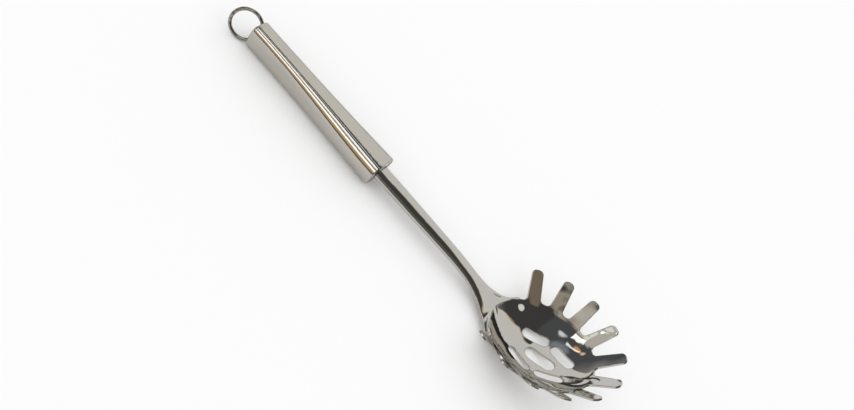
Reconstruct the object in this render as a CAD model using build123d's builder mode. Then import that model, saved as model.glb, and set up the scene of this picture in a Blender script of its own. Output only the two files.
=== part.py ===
from build123d import *
from math import asin, cos, degrees, hypot, radians, sin, sqrt, tan
import os

# Pasta server, in millimetres and degrees.
# +X runs along the handle toward the bowl, +Z is up, y = 0 is the plane of symmetry.
# z = 0 is the table that the handle's underside and the bowl's lowest point rest on.
# The origin is the centre of the whole object's length and width, on that table.

# Handle: a hollow grip that widens toward the bowl
handle_length = 115.3
handle_height = 19.4
handle_width = 23.6
handle_wall = 1.0
handle_lip = 0.8
# Place along the handle from the ring end, width, and corner radius over the section's shorter side
handle_shares = (
    (0.0, 0.62, 0.408),
    (0.25, 0.639, 0.394),
    (0.5, 0.751, 0.412),
    (0.75, 0.905, 0.453),
    (1.0, 1.0, 0.438),
)

# End cap and hanging ring
cap_height = 3.0
cap_wall = 0.8
cap_edge = 1.9
ring_radius = 10.2
ring_wire = 2.4
ring_roll = 22.0
ring_swing = 23.5
ring_centre_reach = 7.9
ring_hole_length = 7.8
ring_hole_width = 9.6
ring_hole_corner = 2.6
ring_hole_inset = 0.5

# Closing plate at the bowl end of the handle
plate_thickness = 2.0
plate_setback = 0.4

# Bowl, rim and tines, from one sheet
rim_half_width = 31.0
rim_stretch = 1.16
flare = 46.5
sheet = 1.2
bowl_tilt = 16.17
rim_centre_from_ring_end = 261.66
tine_length = 20.3
tine_base_width = 9.1
tine_tip_width = 7.0
tip_round_share = 0.48
valley_round_share = 0.95
tine_angles = (-125.3, -100.1, -77.1, -53.4, -27.6, 0, 27.6, 53.4, 77.1, 100.1, 125.3)

# Drain slots: a wide one in the middle and four slimmer ones round it
# Centres of the two end circles, as shares of the rim's half width
middle_slot_width = 9.0
side_slot_width = 6.4
middle_slot_shares = ((-0.066, 0), (0.328, 0))
side_slot_shares = (
    ((-0.387, 0.311), (-0.008, 0.421)),
    ((-0.387, -0.311), (-0.008, -0.421)),
    ((0.294, 0.385), (0.652, 0.25)),
    ((0.294, -0.385), (0.652, -0.25)),
)

# Shank and neck: one bar that flattens and spreads into the back of the bowl
tang_length = 14.0
shank_width = 12.2
shank_height = 6.9
neck_end_from_ring_end = 232.6
# Place from the handle to the neck's end, width, height, centre height and edge drop as shares
neck_shares = (
    (0, 1, 1, 1, 0),
    (0.101, 0.992, 0.993, 1, 0),
    (0.203, 0.975, 0.978, 1, 0),
    (0.304, 0.951, 0.957, 1, 0),
    (0.405, 0.918, 0.935, 1, 0),
    (0.506, 0.885, 0.906, 1, 0),
    (0.591, 0.861, 0.87, 0.995, 0),
    (0.658, 0.844, 0.826, 0.969, 0.005),
    (0.709, 0.852, 0.775, 0.918, 0.01),
    (0.759, 0.902, 0.703, 0.845, 0.021),
    (0.81, 1.066, 0.58, 0.753, 0.041),
    (0.861, 1.361, 0.449, 0.67, 0.062),
    (0.911, 1.828, 0.333, 0.603, 0.082),
    (0.945, 2.23, 0.29, 0.593, 0.103),
    (0.975, 2.77, 0.275, 0.856, 0.33),
    (1, 3.393, 0.275, 0.979, 0.33),
)
# How far the top curves down before it meets the side, in degrees, in a section as high as it is wide
crown_turn = 30.0
# How far the neck is trimmed back behind the dish's inner face
trim_gap = 0.05

# One overrun for every cut, so that no cut ends on a face
overrun = 4.5

# Places that follow from the dimensions above
handle_axis_z = handle_height / 2
hinge_x = cap_wall / 2 - cap_height
flare_cos = cos(radians(flare))
flare_sin = sin(radians(flare))
bowl_depth = rim_half_width * tan(radians(flare / 2))
dish_radius = rim_half_width / flare_sin
dish_centre_z = dish_radius - bowl_depth
tilt_cos = cos(radians(bowl_tilt))
tilt_sin = sin(radians(bowl_tilt))
outer_dish = dish_radius + sheet
rim_centre_z = hypot(tilt_sin * rim_stretch * outer_dish, tilt_cos * outer_dish) - tilt_cos * dish_centre_z
front_tine = tine_length / hypot(rim_stretch * flare_cos, flare_sin)
tip_reach = rim_stretch * (rim_half_width + front_tine * flare_cos + sheet * flare_sin)
tip_height = front_tine * flare_sin - sheet * flare_cos
front_x = rim_centre_from_ring_end + tilt_cos * tip_reach - tilt_sin * tip_height

# The ring's plane holds the rolled hinge line and the direction it hangs out in
hinge_line = Vector(0, sin(radians(ring_roll)), cos(radians(ring_roll)))
ring_out = Vector(
    -cos(radians(ring_swing)),
    -cos(radians(ring_roll)) * sin(radians(ring_swing)),
    sin(radians(ring_roll)) * sin(radians(ring_swing)),
)
ring_normal = hinge_line.cross(ring_out)
ring_centre = Vector(hinge_x, 0, handle_axis_z) + ring_out * ring_centre_reach
back_x = ring_centre.X - ring_radius * sqrt(1 - ring_normal.X**2) - ring_wire / 2
overall_length = front_x - back_x
shift = -(front_x + back_x) / 2
bowl_place = Location((shift + rim_centre_from_ring_end, 0, rim_centre_z), (0, -bowl_tilt, 0))


def handle_section(share, width_share, corner_share, inset):
    """A rounded rectangle across the handle, made smaller all round by the inset."""
    width = width_share * handle_width
    corner = corner_share * min(width, handle_height)
    place = Plane(origin=(shift + share * handle_length, 0, handle_axis_z), x_dir=(0, 1, 0), z_dir=(1, 0, 0))
    with BuildSketch(place) as section:
        RectangleRounded(
            width - 2 * inset,
            handle_height - 2 * inset,
            corner - inset,
        )
    return section.sketch


def neck_section(x, width, height, centre_z, drop):
    """A section across the shank or neck made of four arcs, its edges lower than its middle by the drop."""
    turn = radians(crown_turn) * height / width
    side_rise = (1 - sin(turn)) / cos(turn)
    crown_radius = (width - height * side_rise) / 2 / (sin(turn) - (1 - cos(turn)) * side_rise)
    shoulder_y = crown_radius * sin(turn)
    shoulder_z = height / 2 - crown_radius * (1 - cos(turn))
    high = shoulder_z - drop
    low = -shoulder_z - drop
    place = Plane(origin=(shift + x, 0, centre_z), x_dir=(0, 1, 0), z_dir=(1, 0, 0))
    with BuildSketch(place) as section:
        with BuildLine():
            ThreePointArc((-shoulder_y, high), (0, height / 2), (shoulder_y, high))
            ThreePointArc((shoulder_y, high), (width / 2, -drop), (shoulder_y, low))
            ThreePointArc((shoulder_y, low), (0, -height / 2), (-shoulder_y, low))
            ThreePointArc((-shoulder_y, low), (-width / 2, -drop), (-shoulder_y, high))
        make_face()
    return section.sketch


def flare_plane(angle):
    """The plane that lies on the flared wall at this angle round the rim, +Y up the wall."""
    across = (cos(radians(angle)), sin(radians(angle)))
    rim_point = (rim_half_width * across[0], rim_half_width * across[1], 0)
    outward = (flare_sin * across[0], flare_sin * across[1], -flare_cos)
    return Plane(origin=rim_point, x_dir=(-across[1], across[0], 0), z_dir=outward)


def rim_scale(angle):
    """How much the stretch lengthens the rim's own direction at this angle."""
    return hypot(rim_stretch * sin(radians(angle)), cos(radians(angle)))


def tine_slant(angle):
    """A tine's length before the stretch, so that every tine ends up the same length."""
    return tine_length / hypot(
        rim_stretch * flare_cos * cos(radians(angle)), flare_cos * sin(radians(angle)), flare_sin
    )


def gap_half_width(angle, spread, slant):
    """Half the gap beside a tine at this slant height, measured from the middle of the gap."""
    tine_width = tine_base_width + (tine_tip_width - tine_base_width) * slant / tine_length
    reach = (rim_half_width + slant * flare_cos) * sin(radians(spread))
    return reach - tine_width / 2 / rim_scale(angle) * cos(radians(spread))


def gap_corners(left_angle, right_angle, spread, top):
    """The four corners of the gap between two tines, on the flared wall."""
    left_foot = gap_half_width(left_angle, spread, 0)
    right_foot = gap_half_width(right_angle, spread, 0)
    left_top = gap_half_width(left_angle, spread, top)
    right_top = gap_half_width(right_angle, spread, top)
    return ((-left_foot, 0), (right_foot, 0), (right_top, top), (-left_top, top))


def dish_arc(offset):
    """Bottom, middle and rim of the dish's section, at this offset outward from its inner face."""
    radius = dish_radius + offset
    turns = (0, radians(flare / 2), radians(flare))
    return [Vector(radius * sin(turn), dish_centre_z - radius * cos(turn)) for turn in turns]


# Flared dish before its gaps are cut: a cap of a sphere that runs on into a straight flared wall
blank_top = tine_length + overrun / 2
flare_run = Vector(blank_top * flare_cos, blank_top * flare_sin)
inner_bottom, inner_middle, inner_rim = dish_arc(0)
outer_bottom, outer_middle, outer_rim = dish_arc(sheet)
with BuildPart() as dish:
    with BuildSketch(Plane.XZ):
        with BuildLine():
            ThreePointArc(inner_bottom, inner_middle, inner_rim)
            Polyline(inner_rim, inner_rim + flare_run, outer_rim + flare_run, outer_rim)
            ThreePointArc(outer_rim, outer_middle, outer_bottom)
            Line(outer_bottom, inner_bottom)
        make_face()
    revolve(axis=Axis.Z)

    # Gaps between neighbouring tines, and one behind the last tine on each side
    for step in range(len(tine_angles) + 1):
        left = tine_angles[step - 1] if step > 0 else tine_angles[0] - tine_angles[1] + tine_angles[0]
        if step < len(tine_angles):
            right = tine_angles[step]
        else:
            right = tine_angles[-1] - tine_angles[-2] + tine_angles[-1]
        with BuildSketch(flare_plane((left + right) / 2)) as gap:
            corners = gap_corners(left, right, (right - left) / 2, blank_top + overrun)
            with BuildLine():
                Polyline(*corners, close=True)
            make_face()
            valley_radius = valley_round_share * min(-corners[0][0], corners[1][0])
            fillet(gap.vertices().sort_by(Axis.Y)[:2], valley_radius)
        extrude(amount=overrun, both=True, mode=Mode.SUBTRACT)

    # Tine ends, each square across its own tine
    for angle in tine_angles:
        with BuildSketch(flare_plane(angle)):
            with Locations((0, tine_slant(angle) + overrun)):
                Rectangle(tine_tip_width + sheet, 2 * overrun)
        extrude(amount=overrun, both=True, mode=Mode.SUBTRACT)

    # The back of the rim has no tines: the wall above the rim is taken off there
    back_from = 180 - tine_angles[-1] - (tine_angles[-1] - tine_angles[-2]) / 2
    back_reach = 2 * rim_half_width
    with BuildSketch():
        with BuildLine():
            Polyline(
                (0, 0),
                (-back_reach * cos(radians(back_from)), back_reach * sin(radians(back_from))),
                (-2 * back_reach, 0),
                (-back_reach * cos(radians(back_from)), -back_reach * sin(radians(back_from))),
                close=True,
            )
        make_face()
    extrude(amount=blank_top + overrun, mode=Mode.SUBTRACT)

    # Rounded tine ends
    tip_floor = tine_slant(0) * flare_sin - sheet * flare_cos - sheet / 2
    tip_corners = [
        edge for edge in dish.edges() if edge.geom_type == GeomType.LINE and edge.center().Z > tip_floor
    ]
    fillet(tip_corners, tip_round_share * tine_tip_width / rim_stretch)
    scale(by=(rim_stretch, 1, 1))

# The space that the neck may not reach into, just short of the dish's inner face
space_bottom, space_middle, space_rim = dish_arc(trim_gap)
space_end = space_rim + flare_run
with BuildPart() as bowl_space:
    with BuildSketch(Plane.XZ):
        with BuildLine():
            ThreePointArc(space_bottom, space_middle, space_rim)
            Polyline(space_rim, space_end, (0, space_end.Y), space_bottom)
        make_face()
    revolve(axis=Axis.Z)
    scale(by=(rim_stretch, 1, 1))

# Shank, neck, bowl and tines, one stamped and forged piece
shank_run = neck_end_from_ring_end - handle_length
with BuildPart() as neck:
    sections = []
    for share, width_share, height_share, centre_share, drop_share in neck_shares:
        sections.append(
            neck_section(
                handle_length + share * shank_run,
                width_share * shank_width,
                height_share * shank_height,
                centre_share * handle_axis_z,
                drop_share * handle_axis_z,
            )
        )
    loft(sections=sections)
    extrude(sections[0], amount=-tang_length)
with BuildPart() as server_head:
    add(neck.part)
    with Locations(bowl_place):
        add(bowl_space.part, mode=Mode.SUBTRACT)
        add(dish.part)
    with BuildSketch(Plane(bowl_place)):
        for start, end in (middle_slot_shares, *side_slot_shares):
            middle = ((start[0] + end[0]) / 2 * rim_half_width, (start[1] + end[1]) / 2 * rim_half_width)
            run = (end[0] - start[0], end[1] - start[1])
            turn = degrees(asin(run[1] / hypot(*run)))
            width = side_slot_width if start[1] else middle_slot_width
            with Locations(Location(middle, turn)):
                SlotCenterToCenter(hypot(*run) * rim_half_width, width)
    extrude(amount=-(bowl_depth + sheet + overrun), mode=Mode.SUBTRACT)
server_head.part.label = "server_head"

# Handle shell: a tapered tube, open at both ends until the cap and the plate close it
with BuildPart() as handle_space:
    loft(sections=[handle_section(*row, handle_wall) for row in handle_shares])
with BuildPart() as handle_shell:
    loft(sections=[handle_section(*row, 0) for row in handle_shares])
    lip = handle_shell.faces().sort_by(Axis.X)[-1]
    fillet(lip.edges(), handle_lip)
    add(handle_space.part, mode=Mode.SUBTRACT)
handle_shell.part.label = "handle_shell"

# Closing plate: fills the handle's mouth round the shank, a little way in
plate_x = shift + handle_length - plate_setback - plate_thickness / 2
with BuildPart() as front_plate:
    add(handle_space.part)
    with Locations((plate_x, 0, handle_axis_z)):
        Box(plate_thickness, 2 * handle_width, 2 * handle_height, mode=Mode.INTERSECT)
    add(neck.part, mode=Mode.SUBTRACT)
front_plate.part.label = "front_plate"

# End cap: a shallow domed cup with two holes for the ring, one above the other
end_width = handle_shares[0][1] * handle_width
end_corner = handle_shares[0][2] * min(end_width, handle_height)
cap_plane = Plane(origin=(shift, 0, handle_axis_z), x_dir=(0, 1, 0), z_dir=(-1, 0, 0))
hole_offset = sqrt(ring_radius**2 - ring_centre_reach**2) * cos(radians(ring_roll)) - ring_hole_inset
with BuildPart() as end_cap:
    with BuildSketch(cap_plane):
        RectangleRounded(end_width, handle_height, end_corner)
    extrude(amount=cap_height)
    fillet(end_cap.faces().sort_by(Axis.X)[0].edges(), cap_edge)
    with BuildSketch(cap_plane):
        RectangleRounded(end_width - 2 * cap_wall, handle_height - 2 * cap_wall, end_corner - cap_wall)
    extrude(amount=cap_height - cap_wall, mode=Mode.SUBTRACT)
    with BuildSketch(cap_plane):
        with Locations((0, hole_offset), (0, -hole_offset)):
            RectangleRounded(ring_hole_width, ring_hole_length, ring_hole_corner)
    extrude(amount=cap_height + overrun, mode=Mode.SUBTRACT)
end_cap.part.label = "end_cap"

# Hanging ring: one closed wire loop through both holes, lying rolled over on the table
ring_place = Plane(
    origin=(shift + ring_centre.X, ring_centre.Y, ring_centre.Z), x_dir=hinge_line, z_dir=ring_normal
)
with BuildPart() as hanging_ring:
    with Locations(ring_place):
        Torus(ring_radius, ring_wire / 2)
hanging_ring.part.label = "hanging_ring"

os.makedirs("parts", exist_ok=True)
export_step(server_head.part, "parts/server_head.step")
export_step(handle_shell.part, "parts/handle_shell.step")
export_step(front_plate.part, "parts/front_plate.step")
export_step(end_cap.part, "parts/end_cap.step")
export_step(hanging_ring.part, "parts/hanging_ring.step")

print("overall length", overall_length)
print("shift", shift)
print("rim centre height", rim_centre_z)
for name, body in (
    ("server_head", server_head),
    ("handle_shell", handle_shell),
    ("front_plate", front_plate),
    ("end_cap", end_cap),
    ("hanging_ring", hanging_ring),
):
    box = body.part.bounding_box()
    print(name, len(body.part.solids()), body.part.volume, box.min, box.max)
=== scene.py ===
# %% [markdown]
# # A steel pasta server
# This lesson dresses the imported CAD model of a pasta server: a slotted bowl with a
# crown of tines, a slim shank, a hollow satin handle and a loose hanging ring.
# The shapes come from the CAD model. Here they get their steel, a table and light.

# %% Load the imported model
import math

import bpy
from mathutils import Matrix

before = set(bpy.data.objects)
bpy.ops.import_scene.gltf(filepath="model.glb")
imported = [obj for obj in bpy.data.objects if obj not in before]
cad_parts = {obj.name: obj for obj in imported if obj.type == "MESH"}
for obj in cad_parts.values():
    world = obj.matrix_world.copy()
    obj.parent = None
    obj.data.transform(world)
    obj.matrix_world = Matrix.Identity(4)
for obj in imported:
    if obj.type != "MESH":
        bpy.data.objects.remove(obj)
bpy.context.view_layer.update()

# %% [markdown]
# ## Small helpers
# Colours are written as the hex values that a painter would pick from the screen, and
# one function turns them into the linear values that the renderer works with.
# Another adds a shader node, sets its inputs and joins its links in one call. Each node
# could be written out by hand, but that would bury the few numbers that matter.

# %% Colours as picked from the screen


def linear(hex_colour):
    """The linear colour, with alpha, of an sRGB hex string."""
    channels = [int(hex_colour[i : i + 2], 16) / 255 for i in (1, 3, 5)]
    return [c / 12.92 if c <= 0.04045 else ((c + 0.055) / 1.055) ** 2.4 for c in channels] + [1.0]


print("Mid grey on screen is", round(linear("#808080")[0], 3), "in linear light")

# %% A node in one call


def add_node(tree, kind, settings=None, **inputs):
    """Adds a node with its settings and links.

    An input is named as on the node, with _ for a space, or by its number, as in i0,
    where two have one name. It takes a value or another node's output.
    """
    node = tree.nodes.new(kind)
    for name, value in (settings or {}).items():
        setattr(node, name, value)
    for name, value in inputs.items():
        key = int(name[1:]) if name[1:].isdigit() else name.replace("_", " ")
        if isinstance(value, bpy.types.NodeSocket):
            tree.links.new(value, node.inputs[key])
        else:
            node.inputs[key].default_value = value
    return node


print("Nodes and their links are added in one call")

# %% [markdown]
# ## Steel
# All the metal is one stainless steel, and mostly its finish differs. The handle is
# brushed along its length, the head is buffed to a mirror, and the ring is drawn wire.
# To the eye, a finish is how sharp and how straight the room shows in the metal.
# A picture of steel could be wrapped round the pieces, but its reflections would stay
# put when the server turns. So the colour is one pale grey with faint clouds in it,
# and fine lines and shallow waves bend what the steel mirrors. It is all metal, and its
# IOR keeps the default.

# %% Steel with fine lines and shallow waves
cloud_mm = 25  # faint changes of tone, about as wide as the handle
noise_low, noise_high = 0.3, 0.7  # most of a noise texture lies between these
least_wear, most_wear = 0.8, 1.25  # roughness in the lines, as shares of the mean
shank_end_x, bowl_start_x = 0.085, 0.115  # metres; the stamping is wavy past these


def steel(
    name,
    tone,
    dark_tone,
    roughness,
    line_mm,
    line_stretch,
    line_depth_mm,
    wave_mm,
    wave_depth_mm,
    calm_share,
    edge_mm,
):
    """Stainless steel with fine lines along X, shallow waves and softened edges.

    Up to the shank's end the waves have only calm_share of their depth.
    """
    material = bpy.data.materials.new(name)
    material.use_nodes = True
    tree = material.node_tree
    shader = tree.nodes["Principled BSDF"]
    place = add_node(tree, "ShaderNodeTexCoord").outputs["Object"]
    along = add_node(
        tree,
        "ShaderNodeMapping",
        Vector=place,
        Scale=(1 / line_stretch, 1, 1),
    )
    lines = add_node(
        tree,
        "ShaderNodeTexNoise",
        Vector=along.outputs["Vector"],
        Scale=1000 / line_mm,
        Detail=3.0,
        Roughness=0.6,
    )
    clouds = add_node(
        tree,
        "ShaderNodeTexNoise",
        Vector=place,
        Scale=1000 / cloud_mm,
        Detail=4.0,
    )
    tint = add_node(
        tree,
        "ShaderNodeMix",
        {"data_type": "RGBA"},
        i0=clouds.outputs[0],
        i6=linear(dark_tone),
        i7=linear(tone),
    )
    wear = add_node(
        tree,
        "ShaderNodeMapRange",
        i0=lines.outputs[0],
        i1=noise_low,
        i2=noise_high,
        i3=roughness * least_wear,
        i4=roughness * most_wear,
    )
    soft_edge = add_node(tree, "ShaderNodeBevel", {"samples": 6}, Radius=edge_mm / 1000)
    waves = add_node(
        tree,
        "ShaderNodeTexNoise",
        Vector=place,
        Scale=1000 / wave_mm,
        Detail=0.0,
    )
    toward_bowl = add_node(tree, "ShaderNodeSeparateXYZ", Vector=place).outputs["X"]
    waviness = add_node(
        tree,
        "ShaderNodeMapRange",
        i0=toward_bowl,
        i1=shank_end_x,
        i2=bowl_start_x,
        i3=calm_share,
        i4=1.0,
    )
    wavy = add_node(
        tree,
        "ShaderNodeBump",
        Strength=waviness.outputs[0],
        Distance=wave_depth_mm / 1000,
        Height=waves.outputs[0],
        Normal=soft_edge.outputs["Normal"],
    )
    grain = add_node(
        tree,
        "ShaderNodeBump",
        Strength=1.0,
        Distance=line_depth_mm / 1000,
        Height=lines.outputs[0],
        Normal=wavy.outputs["Normal"],
    )
    tree.links.new(tint.outputs[2], shader.inputs["Base Color"])
    tree.links.new(wear.outputs[0], shader.inputs["Roughness"])
    tree.links.new(grain.outputs["Normal"], shader.inputs["Normal"])
    shader.inputs["Metallic"].default_value = 1.0
    print("Made", name, "with lines", line_mm, "mm wide")
    return material


# %% [markdown]
# ## The handle's steel
# The handle is rolled sheet, brushed lengthwise with a fine belt and lightly polished.
# It mirrors the lamps as long streaks along the crest. A belt's scratches are about
# 0.05 mm wide, too fine to show here, so the lines are drawn at 0.12 mm, and each is
# 60 times as long as it is wide.

# %% Brushed handle
satin_handle_steel = steel(
    "satin_brushed_stainless_handle",
    tone="#BDBAB2",
    dark_tone="#B5B1A9",
    roughness=0.07,
    line_mm=0.12,
    line_stretch=60,
    line_depth_mm=0.0006,
    wave_mm=30,
    wave_depth_mm=0.001,
    calm_share=1.0,
    edge_mm=0.4,
)

# %% [markdown]
# ## The closing plate's steel
# The small plate round the shank sits inside the handle's mouth, where a polishing
# wheel doesn't reach. It keeps a dull satin, so it shows as an even grey.

# %% Satin plate
satin_plate_steel = steel(
    "satin_stainless_plate",
    tone="#AFACA8",
    dark_tone="#A4A19B",
    roughness=0.28,
    line_mm=0.2,
    line_stretch=8,
    line_depth_mm=0.001,
    wave_mm=10,
    wave_depth_mm=0.001,
    calm_share=1.0,
    edge_mm=0.2,
)

# %% [markdown]
# ## The head's steel
# The head is stamped from sheet and buffed to a mirror. Buffing leaves almost no
# lines, but the stamping leaves waves some 9 mm wide, and they tear the reflections
# in the bowl and in the tines. Their depth was raised until they did so as much as in
# the photograph. The shank was forged and ground, so it is nearly straight.

# %% Mirror-buffed head
mirror_head_steel = steel(
    "mirror_buffed_stainless_head",
    tone="#BDBBB6",
    dark_tone="#B7B4AE",
    roughness=0.035,
    line_mm=0.25,
    line_stretch=12,
    line_depth_mm=0.0001,
    wave_mm=9,
    wave_depth_mm=0.42,
    calm_share=0.1,
    edge_mm=0.7,
)

# %% [markdown]
# ## The ring's steel
# The ring is bright drawn wire, bent and welded closed. Bending leaves it uneven every
# few millimetres, and that breaks its shine into light and dark lengths. Its tone is
# darker than the handle's, to match the photograph: painted shade on the same steel.

# %% Bright drawn wire
bright_wire_steel = steel(
    "bright_drawn_stainless_wire",
    # tone and dark_tone are darker than the handle's as painted shade, not a different steel
    tone="#A19D94",
    dark_tone="#858279",
    roughness=0.06,
    line_mm=0.1,
    line_stretch=5,
    line_depth_mm=0.0004,
    wave_mm=3,
    wave_depth_mm=0.6,
    calm_share=1.0,
    edge_mm=0.1,
)

# %% [markdown]
# ## Dressing the pieces
# Each CAD piece keeps its shape and place and only changes its material. The end cap is
# brushed together with the handle, so the two share one steel.

# %% Dress each piece of the CAD model
dress = {
    "server_head": mirror_head_steel,
    "handle_shell": satin_handle_steel,
    "front_plate": satin_plate_steel,
    "end_cap": satin_handle_steel,
    "hanging_ring": bright_wire_steel,
}
for node_name, finish in dress.items():
    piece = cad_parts[node_name]
    piece.data.materials.clear()
    piece.data.materials.append(finish)
    print(node_name, "wears", finish.name)

# %% [markdown]
# ## Table
# The server lies on a wide sheet of matt white paper. It has no gloss at all, so it
# stays plain and pale and shows only the soft shadow of the steel.

# %% The table
table_mesh = bpy.data.meshes.new("table")
half = 3.0
corners = [(-half, -half, 0), (half, -half, 0), (half, half, 0), (-half, half, 0)]
table_mesh.from_pydata(corners, [], [(0, 1, 2, 3)])
table = bpy.data.objects.new("table", table_mesh)
bpy.context.scene.collection.objects.link(table)
table_paper = bpy.data.materials.new("matt_white_paper_sweep")
table_paper.use_nodes = True
paper = table_paper.node_tree.nodes["Principled BSDF"]
paper.inputs["Base Color"].default_value = linear("#FDFDFD")
paper.inputs["Roughness"].default_value = 1.0
paper.inputs["Specular IOR Level"].default_value = 0.0
table_mesh.materials.append(table_paper)
print("The table is", 2 * half, "m across")

# %% [markdown]
# ## Tent
# Mirror steel looks like what stands round it. The room is a tent with a white ceiling
# on the far side and overhead, and with darker walls on the side where the camera looks
# in. A few round cards and small lights hang before the walls: brown, pale, cool and
# amber. The tent could be built from sheets and lamps, but it is quicker to paint it on
# the world, and the table gets no stray light from it.
# Its edges and tones were worked out by following the photograph's view off the steel,
# then written and changed from render to render. So they suit that view best.

# %% Directions in the tent
world = bpy.data.worlds.new("studio_tent")
bpy.context.scene.world = world
world.use_nodes = True
tent = world.node_tree
tent.nodes.clear()
direction = add_node(tent, "ShaderNodeTexCoord").outputs["Generated"]
axes = add_node(tent, "ShaderNodeSeparateXYZ", Vector=direction)
# Turn is 0 at the far side of the table, 90 overhead, 180 behind the camera, and then
# goes on down and under to 270. Directions under the table are met first, from -90
first_turn, last_turn = -90, 270
turn_in_radians = add_node(
    tent,
    "ShaderNodeMath",
    {"operation": "ARCTAN2"},
    i0=axes.outputs["Z"],
    i1=axes.outputs["Y"],
)
whole_turn = add_node(
    tent,
    "ShaderNodeMath",
    {"operation": "WRAP"},
    i0=turn_in_radians.outputs[0],
    i1=math.radians(last_turn),
    i2=math.radians(first_turn),
)
turn = add_node(
    tent,
    "ShaderNodeMapRange",
    i0=whole_turn.outputs[0],
    i1=math.radians(first_turn),
    i2=math.radians(last_turn),
)
from_left = add_node(tent, "ShaderNodeMapRange", i0=axes.outputs["X"], i1=-1.0, i2=1.0)
print("Directions are told by their turn over the table and their lean to the left or right")

# %% Shares of a full turn


def turn_share(degrees):
    """Where a turn in degrees lies between the first turn and the last, from 0 to 1."""
    return (degrees - first_turn) / 360


print("Overhead is", turn_share(90), "of the way round")

# %% A wall of the tent


def tent_wall(turns_and_tones):
    """A wall, as tones met from the far side, over the top and down behind the camera."""
    wall = add_node(tent, "ShaderNodeValToRGB", Fac=turn.outputs[0])
    ramp = wall.color_ramp
    ramp.elements.remove(ramp.elements[1])
    first_degrees, first_tone = turns_and_tones[0]
    ramp.elements[0].position = turn_share(first_degrees)
    ramp.elements[0].color = linear(first_tone)
    for degrees, tone in turns_and_tones[1:]:
        ramp.elements.new(turn_share(degrees)).color = linear(tone)
    return wall.outputs["Color"]


right_wall = tent_wall(
    (
        (-90, "#E8E8E6"),
        (60, "#464646"),
        (130, "#464646"),
        (133, "#A8A296"),
        (137, "#A8A296"),
        (141, "#56544E"),
        (172, "#56544E"),
        (184, "#6E6E70"),
        (270, "#E8E8E6"),
    )
)
left_wall = tent_wall(
    (
        (-90, "#D8D8D6"),
        (60, "#54565A"),
        (134, "#54565A"),
        (137, "#BEB4A8"),
        (143, "#D0CEC8"),
        (150, "#D8C8AE"),
        (157, "#CDB28E"),
        (169, "#BA9D78"),
        (173, "#5A4A3A"),
        (182, "#3A342C"),
        (270, "#D8D8D6"),
    )
)
print("The walls are dark overhead and have a pale and a tan band on the camera's side")

# %% One thing in front of another


def hang(behind, in_front, share_of_front):
    """What steel sees where one thing hangs in front of another."""
    mix = add_node(
        tent,
        "ShaderNodeMix",
        {"data_type": "RGBA"},
        i0=share_of_front,
        i6=behind,
        i7=in_front,
    )
    return mix.outputs[2]


seam_left, seam_right = -0.16, -0.05  # leans between which one wall passes into the other
to_right = add_node(
    tent,
    "ShaderNodeMapRange",
    {"interpolation_type": "SMOOTHSTEP"},
    i0=axes.outputs["X"],
    i1=seam_left,
    i2=seam_right,
)
seen = hang(left_wall, right_wall, to_right.outputs[0])
print("The walls meet a little to the left of the middle")

# %% Cards and small lights in the tent


def card(behind, turn_degrees, lean_degrees, radius, softness, tone):
    """A round card, told by its direction, its radius and its soft edge in degrees."""
    lean, around = math.radians(lean_degrees), math.radians(turn_degrees)
    flat = math.cos(lean)
    middle = (math.sin(lean), flat * math.cos(around), flat * math.sin(around))
    near = add_node(
        tent,
        "ShaderNodeVectorMath",
        {"operation": "DOT_PRODUCT"},
        i0=direction,
        i1=middle,
    )
    inside = add_node(
        tent,
        "ShaderNodeMapRange",
        {"interpolation_type": "SMOOTHSTEP"},
        i0=near.outputs["Value"],
        i1=math.cos(math.radians(radius + softness)),
        i2=math.cos(math.radians(radius)),
    )
    return hang(behind, linear(tone), inside.outputs[0])


# Name, turn, lean, radius and soft edge in degrees, tone
cards = (
    ("broad cool glow", 86, -34, 5, 11, "#8A929A"),
    ("brown card", 119, 25, 5, 3, "#84776A"),
    ("pale card", 133, -57, 6, 2, "#CECBC4"),
    ("cool spark", 112, -27, 0.5, 7, "#F2F8FF"),
    ("amber light", 105, -53, 1, 4, "#F0B884"),
    ("peach light", 100, -61, 1.5, 3, "#F6DCC0"),
    ("white card", 93, 29, 4.5, 1.5, "#F8F6F2"),
)
for card_name, around, lean, radius, softness, tone in cards:
    seen = card(seen, around, lean, radius, softness, tone)
    print("Hung the", card_name)

# %% [markdown]
# ## Ceiling
# The bright lower half of the bowl mirrors the ceiling, and the line between light and
# dark in the bowl is the ceiling's front edge. The edge is a curve, told as a turn for
# each lean from the far left to the far right, with a thin tan hem along it.

# %% The ceiling's edge
leans_and_turns = (
    (-1, 0),
    (-0.9, 6),
    (-0.82, 28),
    (-0.72, 60),
    (-0.5, 72),
    (-0.27, 86),
    (-0.14, 80),
    (-0.1, 62),
    (-0.06, 58),
    (0.03, 58),
    (0.09, 62),
    (0.14, 64),
    (0.18, 68),
    (0.3, 65),
    (0.55, 58),
    (0.66, 40),
    (0.74, -60),
    (1, -85),
)
edge_curve = add_node(tent, "ShaderNodeValToRGB", Fac=from_left.outputs[0])
edge_ramp = edge_curve.color_ramp
edge_ramp.interpolation = "B_SPLINE"
edge_ramp.elements.remove(edge_ramp.elements[1])
for lean, degrees in leans_and_turns:
    share = turn_share(degrees)
    edge_ramp.elements.new((lean + 1) / 2).color = (share, share, share, 1)
edge_ramp.elements.remove(edge_ramp.elements[0])
print("The ceiling's edge is a curve through", len(leans_and_turns), "points")

# %% Ceiling, hem and far gap
past_edge = add_node(
    tent,
    "ShaderNodeMath",
    {"operation": "SUBTRACT"},
    i0=turn.outputs[0],
    i1=edge_curve.outputs["Color"],
)


def fades_out(value, last_full, first_clear):
    """1 up to one share of a turn, and 0 from another one on."""
    fade = add_node(tent, "ShaderNodeMapRange", i0=value, i1=first_clear, i2=last_full)
    return fade.outputs[0]


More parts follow.
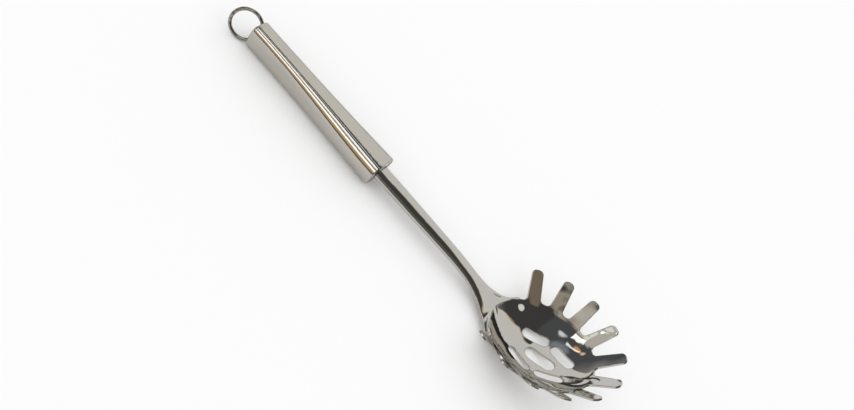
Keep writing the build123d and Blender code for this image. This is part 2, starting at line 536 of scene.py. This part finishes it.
# Each fades out between two turns in degrees. The hem and the ceiling count them from the edge
hem_ends = (1.5, 2.5)
ceiling_ends = (-1, 0.5)
gap_ends = (5, 8)  # the tent is open just over the far side of the table
hem = fades_out(past_edge.outputs[0], hem_ends[0] / 360, hem_ends[1] / 360)
ceiling = fades_out(past_edge.outputs[0], ceiling_ends[0] / 360, ceiling_ends[1] / 360)
far_gap = fades_out(turn.outputs[0], turn_share(gap_ends[0]), turn_share(gap_ends[1]))
seen = hang(seen, linear("#B09C80"), hem)
seen = hang(seen, linear("#E2E1DF"), ceiling)
seen = hang(seen, linear("#4A4846"), far_gap)
print("The ceiling has a hem", hem_ends[1], "degrees wide")

# %% [markdown]
# ## Who sees the tent
# Only the steel sees the tent. Its ceiling is a pale grey at a strength of 1.3, which
# comes out close to 1, so steel under it renders as its own tone. Walls and cards are
# brighter by the same 1.3, and the table is not. All else is lit by an even
# white room of strength 1, which keeps the table white and its shadow soft.

# %% What steel sees and what all else sees
tent_strength = 1.3
room_strength = 1.0
light_path = add_node(tent, "ShaderNodeLightPath")
steel_sees = add_node(tent, "ShaderNodeBackground", Color=seen, Strength=tent_strength)
rest_sees = add_node(
    tent,
    "ShaderNodeBackground",
    Color=linear("#FFFFFF"),
    Strength=room_strength,
)
mixed = add_node(
    tent,
    "ShaderNodeMixShader",
    i0=light_path.outputs["Is Glossy Ray"],
    i1=rest_sees.outputs[0],
    i2=steel_sees.outputs[0],
)
add_node(tent, "ShaderNodeOutputWorld", Surface=mixed.outputs[0])
print("Steel under the ceiling sees", round(tent_strength * linear("#E2E1DF")[0], 2))

# %% [markdown]
# ## Strip lamps
# Four narrow lamps hang over the handle and follow its length. They are seen in its
# crest as the bright streaks between the two flat flanks. They are hidden from matt
# surfaces, so the table gets no light from them.

# %% Strip lamps over the handle
strip_reach = 0.25
handle_axis_z = 0.0097
strip_length = 0.165
strip_middle_x = -0.1425
# Name, turn and spread in degrees, brightness
strips = (
    ("strip_lamp_far", 98, 3, 1.45),
    ("strip_lamp_high", 117, 13, 1.95),
    ("strip_lamp_dim", 130, 8, 0.52),
    ("strip_lamp_near", 143, 12, 1.7),
)
for lamp_name, around, spread, brightness in strips:
    lamp = bpy.data.lights.new(lamp_name, "AREA")
    lamp.shape = "RECTANGLE"
    lamp.size = strip_length
    lamp.size_y = 2 * strip_reach * math.tan(math.radians(spread / 2))
    lamp.energy = brightness * math.pi * lamp.size * lamp.size_y
    strip = bpy.data.objects.new(lamp_name, lamp)
    angle = math.radians(around)
    strip_y = strip_reach * math.cos(angle)
    strip_z = handle_axis_z + strip_reach * math.sin(angle)
    strip.location = (strip_middle_x, strip_y, strip_z)
    strip.rotation_euler = (angle - math.pi / 2, 0, 0)
    strip.visible_diffuse = False
    bpy.context.scene.collection.objects.link(strip)
    print(lamp_name, "is", round(lamp.size_y * 1000), "mm wide and shows only in the steel")

# %% [markdown]
# ## Camera
# The camera was solved from the photograph together with the bowl and the handle.
# It stands on the near side of the table and looks down on the server at 45 degrees.

# %% The camera
camera_data = bpy.data.cameras.new("camera")
camera_data.lens = 36.973
camera_data.sensor_width = 36.0
camera_data.clip_start, camera_data.clip_end = 0.01, 20.0
camera = bpy.data.objects.new("camera", camera_data)
camera.location = (0.0234, -0.380296, 0.404988)
camera.rotation_euler = [math.radians(a) for a in (34.28716, -30.78896, 39.38657)]
bpy.context.scene.collection.objects.link(camera)
bpy.context.scene.camera = camera
bpy.context.scene.view_settings.view_transform = "Standard"
print("The lens is", camera_data.lens, "mm")
